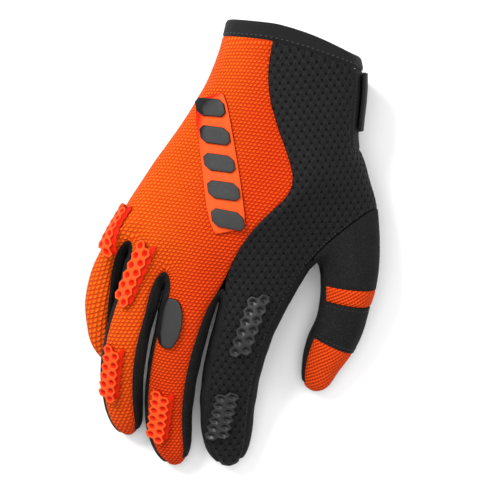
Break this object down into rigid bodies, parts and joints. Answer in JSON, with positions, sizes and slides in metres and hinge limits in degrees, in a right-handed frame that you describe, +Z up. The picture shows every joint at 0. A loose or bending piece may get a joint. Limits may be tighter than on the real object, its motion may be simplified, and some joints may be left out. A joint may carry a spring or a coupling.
{
  "type": "motocross glove",
  "caption": "Right-hand motocross glove with an orange woven back, black mesh on the thumb side, honeycomb rubber guards and a wrist strap, in its filled form.",
  "frame": {"origin": "middle of the bounding box, on the floor under the palm", "axes": "+X towards the thumb side, +Y towards the cuff with the fingers towards -Y, +Z up from the palm to the back of the hand"},
  "size_m": [0.16, 0.2416, 0.0572],
  "materials": {
    "back_orange": "orange woven cloth, matt",
    "mesh_black": "black spacer mesh, matt",
    "plain_black": "plain black stretch cloth, matt",
    "palm_black": "thin black synthetic suede, matt",
    "thumb_orange": "orange ribbed cloth, matt",
    "binding_black": "black binding tape, matt",
    "guard_orange": "moulded orange rubber, satin",
    "guard_black": "moulded black rubber, satin",
    "badge_grey": "moulded dark grey rubber, satin"
  },
  "bodies": {
    "root": {"back_panel": "back_orange", "mesh_panel": "mesh_black", "palm_panel": "palm_black", "pinky_ring_gusset": "plain_black", "ring_middle_gusset": "plain_black", "middle_index_gusset": "plain_black", "index_thumb_gusset": "plain_black", "thumb_back": "plain_black", "thumb_band": "thumb_orange", "thumb_middle": "plain_black", "thumb_tip": "thumb_orange", "thumb_palm": "palm_black", "cuff_binding": "binding_black", "slit_binding": "binding_black", "closure_strap": "binding_black", "knuckle_guard_pinky": "guard_orange", "knuckle_guard_ring": "guard_orange", "finger_guard_ring": "guard_orange", "finger_guard_middle": "guard_orange", "knuckle_guard_index": "guard_black", "finger_guard_index": "guard_black", "badge_backing": "guard_orange", "badge_bar_1": "badge_grey", "badge_bar_2": "badge_grey", "badge_bar_3": "badge_grey", "badge_bar_4": "badge_grey", "badge_bar_5": "badge_grey", "oval_pad": "badge_grey"}
  },
  "joints": []
}
